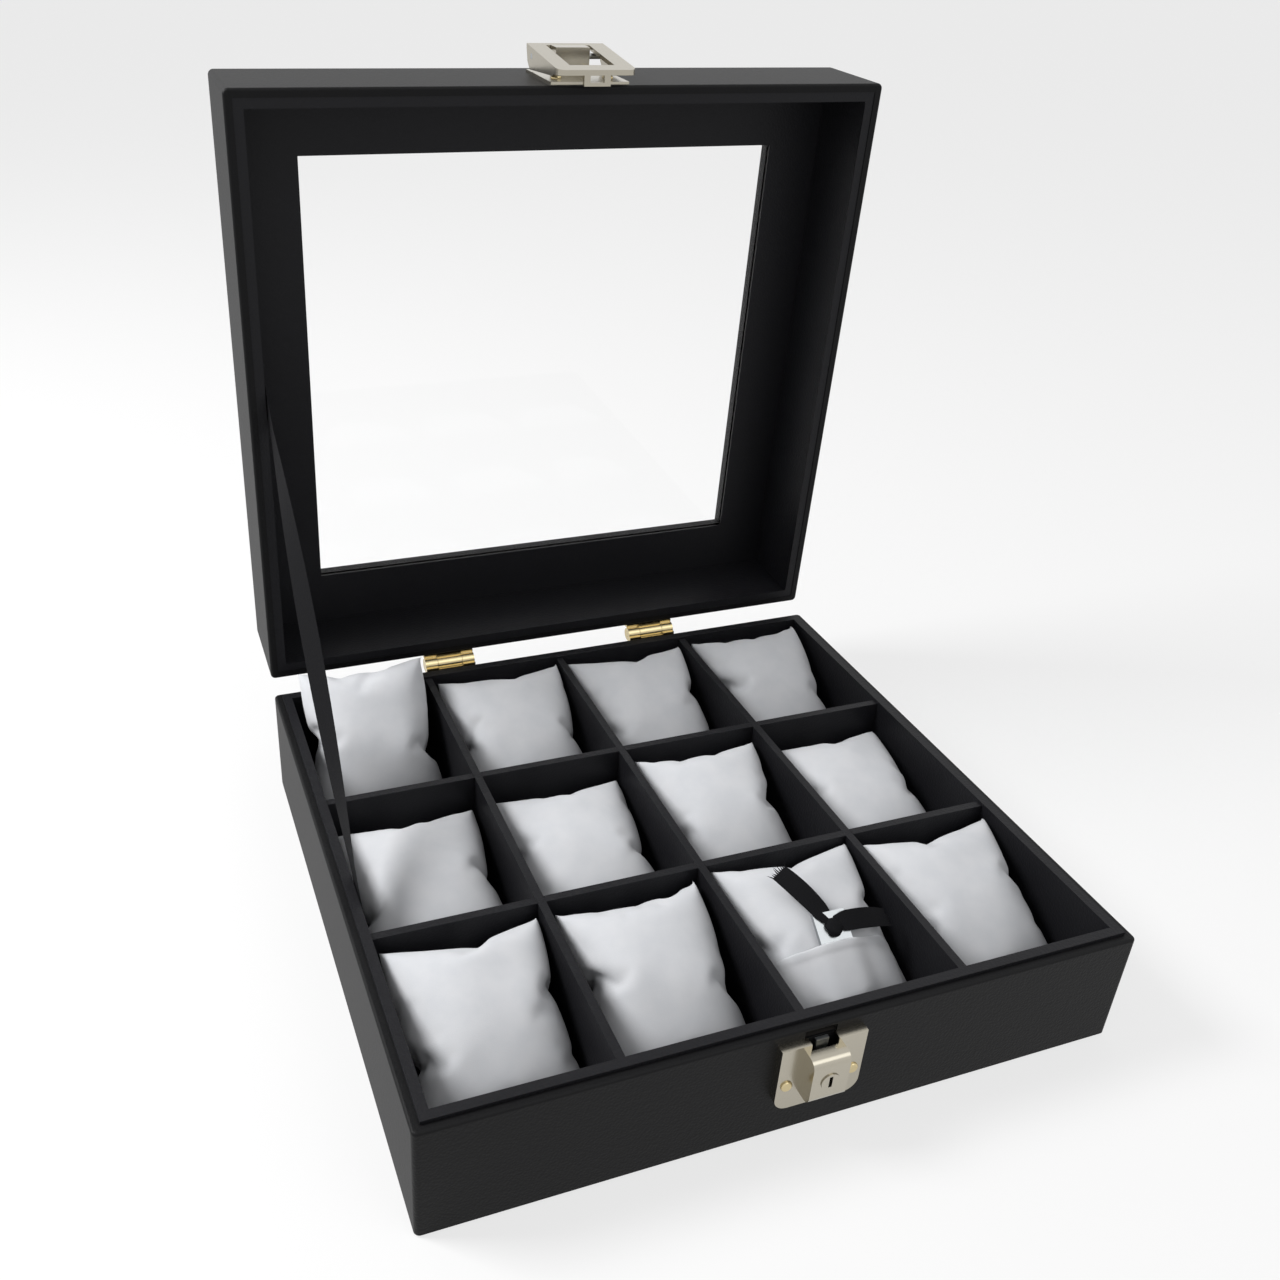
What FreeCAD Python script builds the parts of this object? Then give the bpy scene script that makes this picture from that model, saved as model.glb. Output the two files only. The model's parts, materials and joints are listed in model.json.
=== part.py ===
"""Watch box: a glazed, hinged box with twelve pillow compartments, a key lock and a hasp.

Millimetres. The origin is the centre of the underside, +Z is up and the front is at -Y. The lid's pieces
are written as if the box were shut, and LidFrame turns them about the hinge axis to the open rest pose.
"""
import FreeCAD, Part
import math
import os
import re

SIZES = [
    # Whole box
    ("box_width", 250),
    ("box_depth", 232),
    ("base_height", 45),
    ("lid_height", 38.5),
    ("closed_gap", 1.5),
    ("open_angle", 88),
    ("corner_radius", 2),
    ("rim_radius", 1),
    # Boards, skins and linings
    ("wrap_thickness", 0.6),
    ("board_thickness", 2.4),
    ("bottom_thickness", 3),
    ("felt_thickness", 0.8),
    ("felt_inset", 1),
    ("lining_thickness", 0.6),
    ("liner_thickness", 3.5),
    ("liner_proud", 1.2),
    # Dividers
    ("divider_thickness", 3),
    ("divider_drop", 1),
    ("slot_clearance", 0.1),
    # Lid window
    ("frame_thickness", 5.4),
    ("lining_frame_thickness", 1),
    ("lid_lining_recess", 0.3),
    ("window_margin", 28.5),
    ("glass_thickness", 1.8),
    ("glass_lap", 8),
    ("glass_clearance", 0.1),
    # Hinges
    ("hinge_out", 4),
    ("hinge_length", 22),
    ("hinge_spacing", 96),
    ("barrel_radius", 2.8),
    ("knuckle_gap", 0.2),
    ("leaf_thickness", 1.2),
    ("leaf_height", 14),
    ("hinge_pin_radius", 1.2),
    ("running_clearance", 0.05),
    ("screw_spacing", 14),
    ("screw_edge", 8),
    # Fasteners
    ("fastener_radius", 0.9),
    ("fastener_grip", 1.8),
    ("fastener_clearance", 0.05),
    ("fastener_head_radius", 2),
    ("fastener_head_height", 0.8),
    # Lock
    ("lock_offset", 4),
    ("lock_width", 30),
    ("lock_height", 26),
    ("lock_drop", 4),
    ("pan_depth", 3.2),
    ("pan_skin", 1),
    ("pan_corner_radius", 5),
    ("notch_width", 9.5),
    ("notch_depth", 4),
    ("nail_spacing", 23.4),
    ("nail_rise", 10.5),
    ("case_width", 13),
    ("case_height", 18),
    ("case_depth", 5.5),
    ("case_drop", 2.5),
    ("case_radius", 3),
    ("plug_radius", 3.2),
    ("plug_proud", 0.4),
    ("keyway_width", 1.2),
    ("keyway_height", 4.4),
    ("keyway_depth", 4),
    ("cam_width", 3),
    ("cam_reach", 5),
    ("cam_thickness", 0.5),
    ("bolt_width", 4.4),
    ("bolt_thickness", 1.2),
    ("bolt_length", 18),
    ("bolt_clearance", 0.2),
    ("bolt_rest_drop", 0.6),
    # Hasp
    ("hasp_width", 30),
    ("hasp_overhang", 5.2),
    ("hasp_reach", 29),
    ("hasp_near_top", 4),
    ("hasp_far_top", 10.2),
    ("hasp_skin", 1.5),
    ("hasp_skirt", 1.2),
    ("hasp_bar", 6),
    ("hasp_corner_radius", 3),
    ("hasp_far_bar", 2.7),
    ("hasp_window_width", 17),
    ("hasp_nose_bottom", 2.2),
    ("hasp_foot", 1.6),
    ("hasp_lift", 4),
    ("pivot_reach", 23.5),
    ("pivot_height", 6.2),
    ("hasp_pin_radius", 1),
    ("block_width", 13.2),
    ("block_near", 3),
    ("block_far", 2.5),
    ("block_top", 9.6),
    ("hasp_plate_thickness", 1),
    ("hasp_plate_edge", 1.5),
    ("hasp_nail_spacing", 20),
    ("hasp_nail_rise", 10),
    ("staple_width", 10),
    ("staple_thickness", 1.5),
    ("staple_inset", 0.2),
    ("staple_depth", 1.4),
    ("staple_bar", 1.2),
    ("eye_width", 5.4),
    ("mortise_clearance", 0.6),
    # Stay ribbon
    ("stay_width", 10),
    ("stay_thickness", 0.5),
    ("stay_clearance", 0.1),
    ("stay_base_y", -30),
    ("stay_base_z", 39),
    ("stay_lid_y", -31.6),
    ("stay_lid_rise", 24),
    # Pillows
    ("pillow_length", 70),
    ("pillow_width", 55),
    ("pillow_waist", 49),
    ("pillow_thickness", 33),
    ("pillow_seam", 1.6),
    ("pillow_clearance", 0.3),
    ("pillow_back_gap", 0.6),
    ("tilt_back_1", 51),
    ("tilt_back_2", 31),
    ("tilt_back_3", 30),
    ("tilt_back_4", 32),
    ("tilt_middle_1", 16),
    ("tilt_middle_2", 17),
    ("tilt_middle_3", 27),
    ("tilt_middle_4", 16),
    ("tilt_front_1", 28),
    ("tilt_front_2", 29),
    ("tilt_front_3", 27),
    ("tilt_front_4", 28),
    # Pocket, key and its ribbon
    ("pocket_width", 40),
    ("pocket_gap", 3.4),
    ("pocket_side_gap", 0.6),
    ("pocket_cloth", 1),
    ("key_thickness", 1.5),
    ("key_seat", 0.7),
    ("key_blade_width", 5),
    ("key_blade_length", 15),
    ("key_bow_width", 12),
    ("key_bow_height", 11),
    ("key_eye_width", 6),
    ("key_eye_height", 3),
    ("tail_width", 7),
    ("tail_thickness", 0.8),
    ("tail_left_length", 24),
    ("tail_left_angle", 62),
    ("tail_right_length", 22),
    ("tail_right_angle", -4),
    ("tail_lift", 1.2),
]

ALIASES = [name for name, value in SIZES]
ALIAS_WORD = re.compile(r"\b(" + "|".join(ALIASES) + r")\b")

# Lines that several pieces share, written with the sheet's names
WALL = "(wrap_thickness + board_thickness)"
INNER_WIDTH = f"(box_width - 2 * {WALL} - 2 * liner_thickness)"
INNER_DEPTH = f"(box_depth - 2 * {WALL} - 2 * liner_thickness)"
CORE_WIDTH = "(box_width - 2 * wrap_thickness)"
CORE_DEPTH = "(box_depth - 2 * wrap_thickness)"
ROOM_WIDTH = f"(box_width - 2 * {WALL})"
ROOM_DEPTH = f"(box_depth - 2 * {WALL})"
FRONT = "(-box_depth / 2)"
BACK = "(box_depth / 2)"
CORE_TOP = "(base_height - wrap_thickness)"
PANEL_TOP = "(felt_thickness + bottom_thickness)"
FLOOR = f"({PANEL_TOP} + lining_thickness)"
LINER_TOP = "(base_height + liner_proud)"
DIVIDER_TOP = f"({LINER_TOP} - divider_drop)"
DIVIDER_HEIGHT = f"({DIVIDER_TOP} - {FLOOR})"
COLUMN_PITCH = f"(({INNER_WIDTH} + divider_thickness) / 4)"
ROW_PITCH = f"(({INNER_DEPTH} + divider_thickness) / 3)"
MATING = "(base_height + closed_gap)"
LID_TOP = f"({MATING} + lid_height)"
LID_CORE_BOTTOM = f"({MATING} + wrap_thickness)"
LID_CORE_TOP = f"({LID_TOP} - wrap_thickness)"
FRAME_BOTTOM = f"({LID_CORE_TOP} - frame_thickness)"
LID_CEILING = f"({FRAME_BOTTOM} - lining_frame_thickness)"
GLASS_TOP = f"({FRAME_BOTTOM} + glass_thickness + glass_clearance)"
WINDOW_WIDTH = "(box_width - 2 * window_margin)"
WINDOW_DEPTH = "(box_depth - 2 * window_margin)"
HINGE_Y = "(box_depth / 2 + hinge_out)"
HINGE_Z = "(base_height + closed_gap / 2)"
LOCK_TOP = "(base_height - lock_drop)"
LOCK_BOTTOM = f"({LOCK_TOP} - lock_height)"
CASE_TOP = f"({LOCK_TOP} - case_drop)"
PLUG_Z = f"({CASE_TOP} - case_height / 2)"
PLUG_BACK = "(bolt_clearance * 2 + bolt_thickness + cam_thickness)"
PIVOT_Y = f"({FRONT} - pivot_height)"
PIVOT_Z = f"({MATING} + pivot_reach)"
NAIL_Z = f"({LOCK_BOTTOM} + nail_rise)"
STAPLE_Z = f"({MATING} - hasp_overhang + staple_inset)"
NAIL_SINK = "(fastener_grip + wrap_thickness)"

doc = FreeCAD.newDocument("WatchBox")
dims = doc.addObject("Spreadsheet::Sheet", "Dims")
for row, (name, value) in enumerate(SIZES, 1):
    dims.set(f"A{row}", name)
    dims.set(f"B{row}", str(value))
    dims.setAlias(f"B{row}", name)
doc.recompute()

nodes = []


def bound(words):
    """Write an expression's size names as references to the sheet."""
    return ALIAS_WORD.sub(r"Dims.\1", str(words))


def size(words):
    """Work an expression of the sheet's names out as a number."""
    value = dims.evalExpression(bound(words))
    return float(getattr(value, "Value", value))


def bind(part, **properties):
    for name, words in properties.items():
        part.setExpression(name, bound(words))


def place(part, x=0, y=0, z=0, axis=(1, 0, 0), angle=0, frame=None):
    """Bind a part's placement to the sheet, within the lid's or the hasp's frame if one is named."""
    turn = f"rotation(vector({axis[0]}; {axis[1]}; {axis[2]}); {bound(angle)})"
    own = f"placement(vector({bound(x)}; {bound(y)}; {bound(z)}); {turn})"
    part.setExpression("Placement", f"{frame}.Placement * {own}" if frame else own)
    return part


def box(name, length, width, height, x, y, z, frame=None):
    part = doc.addObject("Part::Box", name)
    bind(part, Length=length, Width=width, Height=height)
    return place(part, x, y, z, frame=frame)


def centred_box(name, length, width, height, z, frame=None, x=0, y=0):
    """A box that is centred on x and y and stands on z."""
    return box(name, length, width, height, f"{x} - {length} / 2", f"{y} - {width} / 2", z, frame)


def rod(name, radius, height, x, y, z, axis=(1, 0, 0), angle=0, frame=None):
    part = doc.addObject("Part::Cylinder", name)
    bind(part, Radius=radius, Height=height)
    return place(part, x, y, z, axis, angle, frame)


def rod_x(name, radius, length, x, y, z):
    """A rod along +X that starts at x."""
    return rod(name, radius, length, x, y, z, (0, 1, 0), 90)


def rod_y(name, radius, length, x, y, z):
    """A rod along +Y that starts at y."""
    return rod(name, radius, length, x, y, z, (1, 0, 0), -90)


def joined(name, parts):
    part = doc.addObject("Part::MultiFuse", name)
    part.Shapes = parts
    part.Refine = True
    return part


def cut(name, base, tools):
    part = doc.addObject("Part::Cut", name)
    part.Base = base
    part.Tool = tools[0] if len(tools) == 1 else joined(f"{name}_tools", tools)
    return part


def group(name, parts):
    """Separate solids that share one node."""
    part = doc.addObject("Part::Compound", name)
    part.Links = parts
    return part


def rounded(name, base, choose, radius):
    """Fillet the edges of a part that choose picks."""
    doc.recompute()
    part = doc.addObject("Part::Fillet", name)
    part.Base = base
    picked = [number for number, edge in enumerate(base.Shape.Edges, 1) if choose(edge)]
    part.Edges = [(number, radius, radius) for number in picked]
    return part


def upright(edge):
    low, high = edge.Vertexes[0].Point, edge.Vertexes[-1].Point
    return abs(low.x - high.x) < 1e-6 and abs(low.y - high.y) < 1e-6


def level_at(height):
    return lambda edge: all(abs(vertex.Z - height) < 1e-6 for vertex in edge.Vertexes)


def prism(name, points, width, x, frame=None):
    """Extrude an outline of (y, z) expressions along +X by width, from x."""
    outline = doc.addObject("Part::Feature", f"{name}_outline")
    corners = [FreeCAD.Vector(0, size(y), size(z)) for y, z in points]
    outline.Shape = Part.Face(Part.makePolygon(corners + corners[:1]))
    part = doc.addObject("Part::Extrusion", name)
    part.Base = outline
    part.DirMode = "Custom"
    part.Dir = FreeCAD.Vector(1, 0, 0)
    part.Solid = True
    bind(part, LengthFwd=width)
    return place(part, x, frame=frame)


def node(label, part, frame=None):
    """Name a finished piece, which is then written to a file of that name."""
    if frame:
        place(part, frame=frame)
    part.Label = label
    nodes.append(part)
    return part


# Frames of the lid and the hasp, which turn what is drawn shut to the rest pose
def turning_frame(name, y, z, angle, parent=None):
    frame = doc.addObject("App::Placement", name)
    turn = f"placement(vector(0; {bound(y)}; {bound(z)}); rotation(vector(1; 0; 0); {bound(angle)}))"
    back = f"placement(vector(0; -{bound(y)}; -{bound(z)}); rotation(vector(1; 0; 0); 0))"
    words = f"{turn} * {back}"
    frame.setExpression("Placement", f"{parent}.Placement * {words}" if parent else words)
    return name


LID = turning_frame("LidFrame", HINGE_Y, HINGE_Z, "-open_angle")
HASP = turning_frame("HaspFrame", PIVOT_Y, PIVOT_Z, "-hasp_lift", LID)


# Fasteners: a domed head on a shank, driven along +Y or -Y
def fastener(name, x, y, z, sink, inward):
    """A nail whose head sits on the face at y and whose shank goes inward, +1 for +Y."""
    shank = rod_y(f"{name}_shank", "fastener_radius", sink, x, y if inward > 0 else f"{y} - {sink}", z)
    rise = "fastener_head_height"
    head = rod_y(f"{name}_head", "fastener_head_radius", rise, x, f"{y} - {rise}" if inward > 0 else y, z)
    nail = joined(f"{name}_blank", [shank, head])
    outer = size(f"{y} - {rise}") if inward > 0 else size(f"{y} + {rise}")
    crown = size(rise) * 0.8
    return rounded(name, nail, lambda edge: all(abs(v.Y - outer) < 1e-6 for v in edge.Vertexes), crown)


def drill(name, x, y, z, sink, inward):
    """The hole for a fastener."""
    radius = "(fastener_radius + fastener_clearance)"
    return rod_y(name, radius, sink, x, y if inward > 0 else f"{y} - {sink}", z)


HINGE_CENTRES = {"left": "(-hinge_spacing / 2)", "right": "(hinge_spacing / 2)"}
SCREW_SINK = "(leaf_thickness + wrap_thickness + fastener_grip)"
LEAF_FACE = f"({BACK} + leaf_thickness)"
BASE_SCREW_Z = "(base_height - screw_edge)"
LID_SCREW_Z = f"({MATING} + screw_edge)"
SCREW_PLACES = [
    (f"{side}_{end}", f"({centre} + {sign} * screw_spacing / 2)")
    for side, centre in HINGE_CENTRES.items()
    for end, sign in (("a", -1), ("b", 1))
]


def screw_holes(prefix, z):
    return [drill(f"{prefix}_{name}", x, LEAF_FACE, z, SCREW_SINK, -1) for name, x in SCREW_PLACES]


NAIL_PLACES = [
    ("left", "(lock_offset - nail_spacing / 2)"),
    ("right", "(lock_offset + nail_spacing / 2)"),
]
LOCK_FACE = f"({FRONT} - pan_depth)"
LOCK_NAIL_SINK = f"(pan_depth + {NAIL_SINK})"
HASP_NAIL_PLACES = [
    ("left", "(lock_offset - hasp_nail_spacing / 2)"),
    ("right", "(lock_offset + hasp_nail_spacing / 2)"),
]
HASP_FACE = f"({FRONT} - hasp_plate_thickness)"
HASP_NAIL_SINK = f"(hasp_plate_thickness + {NAIL_SINK})"
HASP_NAIL_Z = f"({MATING} + hasp_nail_rise)"


def lock_nail_holes(prefix):
    return [drill(f"{prefix}_{name}", x, LOCK_FACE, NAIL_Z, LOCK_NAIL_SINK, 1) for name, x in NAIL_PLACES]


def hasp_nail_holes(prefix):
    return [
        drill(f"{prefix}_{name}", x, HASP_FACE, HASP_NAIL_Z, HASP_NAIL_SINK, 1)
        for name, x in HASP_NAIL_PLACES
    ]


def staple_mortise(name):
    """The pocket in the front wall that the hasp's staple closes into."""
    width = "(staple_width + 2 * mortise_clearance)"
    height = "(staple_thickness + 2 * mortise_clearance)"
    depth = "(staple_depth + mortise_clearance)"
    low = f"{STAPLE_Z} - mortise_clearance"
    return box(name, width, depth, height, f"lock_offset - {width} / 2", FRONT, low)


# Base: felt, boards and leatherette
FELT_WIDTH = "(box_width - 2 * felt_inset)"
FELT_DEPTH = "(box_depth - 2 * felt_inset)"
CORE_HEIGHT = f"({CORE_TOP} - felt_thickness)"
WRAP_HEIGHT = "(base_height - felt_thickness)"
BOARD_CORNER = size("corner_radius - wrap_thickness")

node("base_felt", centred_box("felt", FELT_WIDTH, FELT_DEPTH, "felt_thickness", 0))
node("base_bottom_panel", centred_box("bottom", ROOM_WIDTH, ROOM_DEPTH, "bottom_thickness", "felt_thickness"))
node("floor_lining", centred_box("lining", ROOM_WIDTH, ROOM_DEPTH, "lining_thickness", PANEL_TOP))


def outer_edge(half_depth, sign):
    """Pick the two upright edges at the outer corners of a front or back board."""
    return lambda edge: upright(edge) and abs(edge.Vertexes[0].Y - sign * half_depth) < 1e-6


def end_board(name, sign, bottom, height):
    """A front (-1) or back (+1) board, across the whole core, with its outer corners rounded."""
    y = f"-{CORE_DEPTH} / 2" if sign < 0 else f"{CORE_DEPTH} / 2 - board_thickness"
    blank = box(f"{name}_blank", CORE_WIDTH, "board_thickness", height, f"-{CORE_WIDTH} / 2", y, bottom)
    return rounded(name, blank, outer_edge(size(f"{CORE_DEPTH} / 2"), sign), BOARD_CORNER)


def side_board_x(sign):
    return f"-{CORE_WIDTH} / 2" if sign < 0 else f"{CORE_WIDTH} / 2 - board_thickness"


front_board = end_board("front_board", -1, "felt_thickness", CORE_HEIGHT)
back_board = end_board("back_board", 1, "felt_thickness", CORE_HEIGHT)
front_cuts = lock_nail_holes("front_board_nail") + [staple_mortise("front_board_mortise")]
node("base_front_wall", cut("base_front", front_board, front_cuts))
node("base_back_wall", cut("base_back", back_board, screw_holes("back_board_screw", BASE_SCREW_Z)))
for side, sign in (("left", -1), ("right", 1)):
    x = side_board_x(sign)
    board = box(f"base_{side}", "board_thickness", ROOM_DEPTH, CORE_HEIGHT, x, f"-{ROOM_DEPTH} / 2",
                "felt_thickness")
    node(f"base_{side}_wall", board)


def rounded_shell(name, bottom, height, rim):
    """A block of the outer size with rounded corners and a rounded edge at the height rim."""
    block = centred_box(f"{name}_block", "box_width", "box_depth", height, bottom)
    corners = rounded(f"{name}_corners", block, upright, size("corner_radius"))
    return rounded(f"{name}_shell", corners, level_at(size(rim)), size("rim_radius"))


base_core = centred_box("base_core", CORE_WIDTH, CORE_DEPTH, CORE_HEIGHT, "felt_thickness")
base_core_round = rounded("base_core_round", base_core, upright, BOARD_CORNER)
base_mouth = centred_box("base_mouth", ROOM_WIDTH, ROOM_DEPTH, "base_height", "felt_thickness")
wrap_cuts = [base_core_round, base_mouth, staple_mortise("wrap_mortise")]
wrap_cuts += lock_nail_holes("wrap_nail") + screw_holes("wrap_screw", BASE_SCREW_Z)
base_shell = rounded_shell("base", "felt_thickness", WRAP_HEIGHT, "base_height")
node("base_wrap", cut("base_skin", base_shell, wrap_cuts))

# Base: liners that stand proud of the rim
LINER_HEIGHT = f"({LINER_TOP} - {FLOOR})"
for side, y in (("front", f"-{ROOM_DEPTH} / 2"), ("back", f"{ROOM_DEPTH} / 2 - liner_thickness")):
    liner = box(f"liner_{side}_board", ROOM_WIDTH, "liner_thickness", LINER_HEIGHT, f"-{ROOM_WIDTH} / 2", y,
                FLOOR)
    node(f"liner_{side}", liner)
for side, x in (("left", f"-{ROOM_WIDTH} / 2"), ("right", f"{ROOM_WIDTH} / 2 - liner_thickness")):
    liner = box(f"liner_{side}_board", "liner_thickness", INNER_DEPTH, LINER_HEIGHT, x, f"-{INNER_DEPTH} / 2",
                FLOOR)
    node(f"liner_{side}", liner)

# Base: dividers, halved into each other
SLOT_WIDTH = "(divider_thickness + 2 * slot_clearance)"
HALF_HEIGHT = f"({DIVIDER_HEIGHT} / 2)"
COLUMN_DIVIDERS = {"left": f"(-{COLUMN_PITCH})", "middle": "0", "right": COLUMN_PITCH}
ROW_DIVIDERS = {"front": f"(-{ROW_PITCH} / 2)", "back": f"({ROW_PITCH} / 2)"}

for row, y in ROW_DIVIDERS.items():
    board = centred_box(f"row_{row}", INNER_WIDTH, "divider_thickness", DIVIDER_HEIGHT, FLOOR, y=y)
    slots = [
        centred_box(f"row_{row}_slot_{column}", SLOT_WIDTH, "2 * divider_thickness", HALF_HEIGHT,
                    f"{FLOOR} + {HALF_HEIGHT}", x=x, y=y)
        for column, x in COLUMN_DIVIDERS.items()
    ]
    node(f"row_divider_{row}", cut(f"row_{row}_slotted", board, slots))
for column, x in COLUMN_DIVIDERS.items():
    board = centred_box(f"column_{column}", "divider_thickness", INNER_DEPTH, DIVIDER_HEIGHT, FLOOR, x=x)
    slots = [
        centred_box(f"column_{column}_slot_{row}", "2 * divider_thickness", SLOT_WIDTH, HALF_HEIGHT, FLOOR,
                    x=x, y=y)
        for row, y in ROW_DIVIDERS.items()
    ]
    node(f"column_divider_{column}", cut(f"column_{column}_slotted", board, slots))

# Lid: boards, window frame, pane and linings, drawn shut
LID_CORE_HEIGHT = f"({LID_CORE_TOP} - {LID_CORE_BOTTOM})"
lid_front = end_board("lid_front_board", -1, LID_CORE_BOTTOM, LID_CORE_HEIGHT)
lid_back = end_board("lid_back_board", 1, LID_CORE_BOTTOM, LID_CORE_HEIGHT)
node("lid_front_wall", cut("lid_front", lid_front, hasp_nail_holes("lid_front_nail")), LID)
node("lid_back_wall", cut("lid_back", lid_back, screw_holes("lid_back_screw", LID_SCREW_Z)), LID)
for side, sign in (("left", -1), ("right", 1)):
    x = side_board_x(sign)
    y = f"-{ROOM_DEPTH} / 2"
    board = box(f"lid_{side}", "board_thickness", ROOM_DEPTH, LID_CORE_HEIGHT, x, y, LID_CORE_BOTTOM, LID)
    node(f"lid_{side}_wall", board)

HOLE_WIDTH = f"({WINDOW_WIDTH} + 2 * wrap_thickness)"
HOLE_DEPTH = f"({WINDOW_DEPTH} + 2 * wrap_thickness)"
GLASS_WIDTH = f"({WINDOW_WIDTH} + 2 * glass_lap)"
GLASS_DEPTH = f"({WINDOW_DEPTH} + 2 * glass_lap)"
REBATE = f"({GLASS_TOP} - {FRAME_BOTTOM})"

frame_board = centred_box("frame_board", ROOM_WIDTH, ROOM_DEPTH, "frame_thickness", FRAME_BOTTOM)
frame_hole = centred_box("frame_hole", HOLE_WIDTH, HOLE_DEPTH, "frame_thickness", FRAME_BOTTOM)
rebate_width = f"({GLASS_WIDTH} + 2 * glass_clearance)"
rebate_depth = f"({GLASS_DEPTH} + 2 * glass_clearance)"
frame_rebate = centred_box("frame_rebate", rebate_width, rebate_depth, REBATE, FRAME_BOTTOM)
node("lid_top_frame", cut("top_frame", frame_board, [frame_hole, frame_rebate]), LID)
node("lid_glass", centred_box("glass", GLASS_WIDTH, GLASS_DEPTH, "glass_thickness", FRAME_BOTTOM, LID))

lining_panel = centred_box("lining_panel", ROOM_WIDTH, ROOM_DEPTH, "lining_frame_thickness", LID_CEILING)
lining_hole = centred_box("lining_hole", WINDOW_WIDTH, WINDOW_DEPTH, "lining_frame_thickness", LID_CEILING)
node("lid_lining_frame", cut("lining_frame", lining_panel, [lining_hole]), LID)

LID_LINING_BOTTOM = f"({MATING} + lid_lining_recess)"
LID_LINING_HEIGHT = f"({LID_CEILING} - {LID_LINING_BOTTOM})"
side_linings = [
    box(f"lid_lining_{side}", "liner_thickness", ROOM_DEPTH, LID_LINING_HEIGHT, x, f"-{ROOM_DEPTH} / 2",
        LID_LINING_BOTTOM)
    for side, x in (("left", f"-{ROOM_WIDTH} / 2"), ("right", f"{ROOM_WIDTH} / 2 - liner_thickness"))
]
node("lid_side_linings", group("side_linings", side_linings), LID)
end_linings = [
    box(f"lid_lining_{side}", INNER_WIDTH, "liner_thickness", LID_LINING_HEIGHT, f"-{INNER_WIDTH} / 2", y,
        LID_LINING_BOTTOM)
    for side, y in (("front", f"-{ROOM_DEPTH} / 2"), ("back", f"{ROOM_DEPTH} / 2 - liner_thickness"))
]
node("lid_end_linings", group("end_linings", end_linings), LID)

# Lid: leatherette over the outside, under the rim and down the window's edge to the pane
lid_core = centred_box("lid_core", CORE_WIDTH, CORE_DEPTH, LID_CORE_HEIGHT, LID_CORE_BOTTOM)
lid_core_round = rounded("lid_core_round", lid_core, upright, BOARD_CORNER)
window_skirt = centred_box("window_skirt", HOLE_WIDTH, HOLE_DEPTH, f"{LID_CORE_TOP} - {GLASS_TOP}", GLASS_TOP)
lid_hollow = cut("lid_hollow", lid_core_round, [window_skirt])
lid_window = centred_box("lid_window", WINDOW_WIDTH, WINDOW_DEPTH, "lid_height", MATING)
lid_mouth = centred_box("lid_mouth", ROOM_WIDTH, ROOM_DEPTH, "wrap_thickness", MATING)
lid_cuts = [lid_hollow, lid_window, lid_mouth]
lid_cuts += hasp_nail_holes("lid_wrap_nail") + screw_holes("lid_wrap_screw", LID_SCREW_Z)
lid_block = centred_box("lid_block", "box_width", "box_depth", "lid_height", MATING)
lid_corners = rounded("lid_corners", lid_block, upright, size("corner_radius"))
lid_rim = rounded("lid_rim", lid_corners, level_at(size(MATING)), size("rim_radius"))
lid_shell = rounded("lid_shell", lid_rim, level_at(size(LID_TOP)), size("rim_radius"))
node("lid_wrap", cut("lid_skin", lid_shell, lid_cuts), LID)

# Hinges: leaves on the two back walls, three knuckles on a pin
KNUCKLE = "((hinge_length - 2 * knuckle_gap) / 4)"
BORE = "(hinge_pin_radius + running_clearance)"


def hinge_leaf(name, centre, plate_z, knuckles, web_z):
    """A leaf with its knuckles; each knuckle is its start and length, measured from the hinge's middle."""
    plate_x = f"{centre} - hinge_length / 2"
    parts = [box(f"{name}_plate", "hinge_length", "leaf_thickness", "leaf_height", plate_x, BACK, plate_z)]
    for number, (start, length) in enumerate(knuckles, 1):
        x = f"{centre} + {start}"
        parts.append(rod_x(f"{name}_knuckle_{number}", "barrel_radius", length, x, HINGE_Y, HINGE_Z))
        parts.append(box(f"{name}_web_{number}", length, "hinge_out", "barrel_radius", x, BACK, web_z))
    bore = rod_x(f"{name}_bore", BORE, "hinge_length", plate_x, HINGE_Y, HINGE_Z)
    return cut(name, joined(f"{name}_blank", parts), [bore])


OUTER_KNUCKLES = [("-hinge_length / 2", KNUCKLE), (f"hinge_length / 2 - {KNUCKLE}", KNUCKLE)]
MIDDLE_KNUCKLE = [(f"-{KNUCKLE}", f"2 * {KNUCKLE}")]

pins = []
for side, centre in HINGE_CENTRES.items():
    base_plate_z = "base_height - leaf_height"
    holes = [
        drill(f"base_leaf_{side}_{end}", f"{centre} + {sign} * screw_spacing / 2", LEAF_FACE, BASE_SCREW_Z,
              SCREW_SINK, -1)
        for end, sign in (("a", -1), ("b", 1))
    ]
    leaf = hinge_leaf(f"base_leaf_{side}", centre, base_plate_z, OUTER_KNUCKLES, f"{HINGE_Z} - barrel_radius")
    node(f"hinge_base_leaf_{side}", cut(f"base_leaf_{side}_drilled", leaf, holes))
    holes = [
        drill(f"lid_leaf_{side}_{end}", f"{centre} + {sign} * screw_spacing / 2", LEAF_FACE, LID_SCREW_Z,
              SCREW_SINK, -1)
        for end, sign in (("a", -1), ("b", 1))
    ]
    leaf = hinge_leaf(f"lid_leaf_{side}", centre, MATING, MIDDLE_KNUCKLE, HINGE_Z)
    node(f"hinge_lid_leaf_{side}", cut(f"lid_leaf_{side}_drilled", leaf, holes), LID)
    pin_x = f"{centre} - hinge_length / 2"
    pins.append(rod_x(f"pin_{side}", "hinge_pin_radius", "hinge_length", pin_x, HINGE_Y, HINGE_Z))
node("hinge_pins", group("pins", pins))
for place_name, z, frame in (("base", BASE_SCREW_Z, None), ("lid", LID_SCREW_Z, LID)):
    screws = [
        fastener(f"{place_name}_screw_{name}", x, LEAF_FACE, z, SCREW_SINK, -1) for name, x in SCREW_PLACES
    ]
    node(f"hinge_{place_name}_screws", group(f"{place_name}_screws", screws), frame)

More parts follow.
